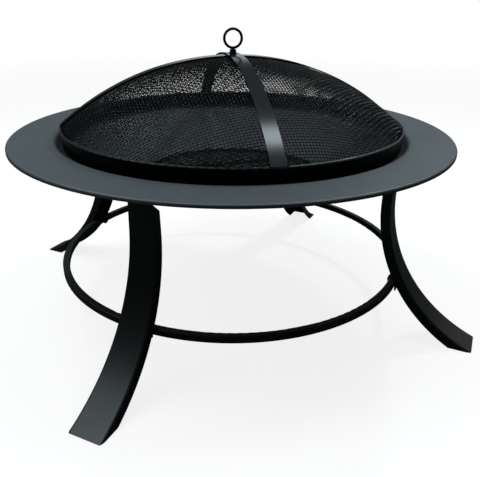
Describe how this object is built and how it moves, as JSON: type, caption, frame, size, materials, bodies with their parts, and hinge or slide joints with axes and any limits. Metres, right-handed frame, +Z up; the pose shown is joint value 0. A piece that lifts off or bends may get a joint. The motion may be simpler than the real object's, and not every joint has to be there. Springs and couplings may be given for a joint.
{
  "type": "fire pit",
  "caption": "Round steel fire pit: wide-rimmed bowl on swept channel legs tied by a brace ring, with a lift-off domed mesh spark screen and a loose expanded-metal grate.",
  "frame": {"origin": "on the floor, under the centre of the bowl", "axes": "+Z up along the bowl's axis; the legs stand on the diagonals between X and Y; -Y is the front"},
  "size_m": [0.762, 0.762, 0.4961],
  "materials": {
    "bowl_coat": "satin powder coat",
    "leg_coat": "satin powder coat",
    "bracket_coat": "satin powder coat",
    "ring_coat": "satin powder coat",
    "band_coat": "gloss black enamel",
    "strap_coat": "satin powder coat",
    "grate_steel": "heat-resistant black paint",
    "mesh_wire": "painted wire",
    "fastener_black": "black oxide",
    "handle_steel": "black enamel"
  },
  "bodies": {
    "stand": {"bowl": "bowl_coat", "brace_ring": "ring_coat", "leg_front_left": "leg_coat", "leg_front_right": "leg_coat", "leg_rear_right": "leg_coat", "leg_rear_left": "leg_coat", "mount_plate_front_left": "bracket_coat", "mount_plate_front_right": "bracket_coat", "mount_plate_rear_right": "bracket_coat", "mount_plate_rear_left": "bracket_coat", "ring_bracket_front_left": "bracket_coat", "ring_bracket_front_right": "bracket_coat", "ring_bracket_rear_right": "bracket_coat", "ring_bracket_rear_left": "bracket_coat", "bowl_bolts": "fastener_black", "bowl_washers": "fastener_black", "bowl_nuts": "fastener_black", "ring_bolts": "fastener_black", "ring_washers": "fastener_black", "ring_nuts": "fastener_black"},
    "screen": {"screen_mesh": "mesh_wire", "screen_band": "band_coat", "strap_lower": "strap_coat", "strap_upper": "strap_coat", "handle_eye_bolt": "handle_steel", "handle_washer": "handle_steel", "handle_nut": "handle_steel", "handle_backing_washer": "handle_steel", "handle_inner_nut": "handle_steel"},
    "grate": {"grate_hoop": "grate_steel", "grate_cross_bars": "grate_steel", "grate_mesh": "grate_steel"}
  },
  "joints": [
    {"name": "screen_lift", "type": "slide", "parent": "stand", "child": "screen", "axis": [0, 0, 1], "range_m": [0, 0.35]},
    {"name": "grate_lift", "type": "slide", "parent": "stand", "child": "grate", "axis": [0, 0, 1], "range_m": [0, 0.15]}
  ]
}
